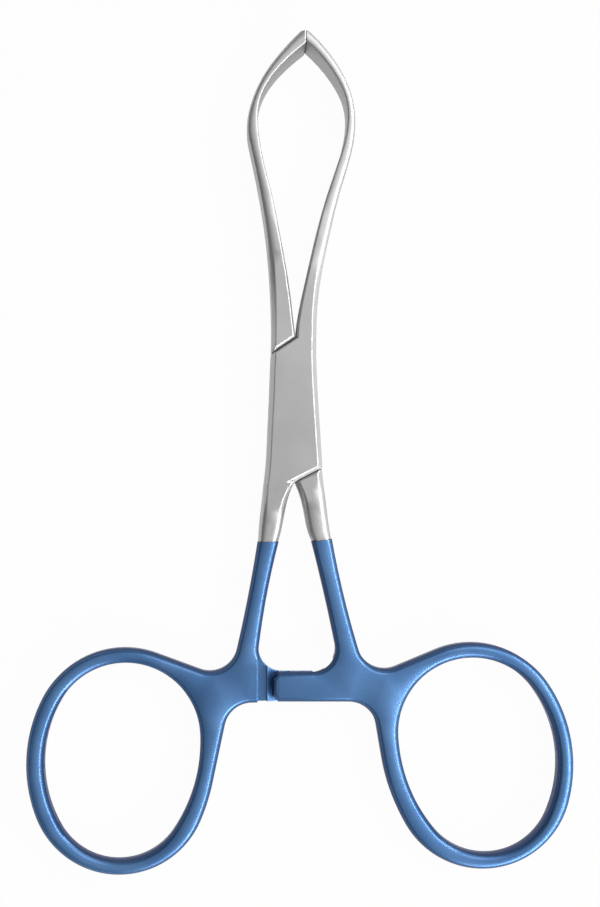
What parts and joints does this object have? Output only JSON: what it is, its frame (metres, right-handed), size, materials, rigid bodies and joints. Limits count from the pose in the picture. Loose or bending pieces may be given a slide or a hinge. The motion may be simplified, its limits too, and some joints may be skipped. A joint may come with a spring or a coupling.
{
  "type": "towel clamp",
  "caption": "Ring-handled towel clamp with a box lock, slender bowed jaws that meet at blunt square tips, a toothed ratchet and blue coated finger rings.",
  "frame": {"origin": "on the pivot axis at the underside of the box lock", "axes": "+Y along the clamp towards the jaw tips, +Z square to the clamp's flat side along the pivot, up when it lies on a table, +X to the right with the tips pointing away"},
  "size_m": [0.0863, 0.1323, 0.0056],
  "materials": {
    "satin_steel": "satin, fine glass-bead blast with softly polished edges",
    "pin_steel": "satin, ground flush with the lock",
    "blue_coat": "semi-gloss mid-blue coat"
  },
  "bodies": {
    "box_side": {"box_half": "satin_steel", "pivot_pin": "pin_steel", "left_handle_coat": "blue_coat"},
    "tongue_side": {"tongue_half": "satin_steel", "right_handle_coat": "blue_coat"}
  },
  "joints": [
    {"name": "jaw_opening", "type": "hinge", "parent": "box_side", "child": "tongue_side", "pos_m": [0, 0, 0], "axis": [0, 0, 1], "range_deg": [0, 50]}
  ]
}
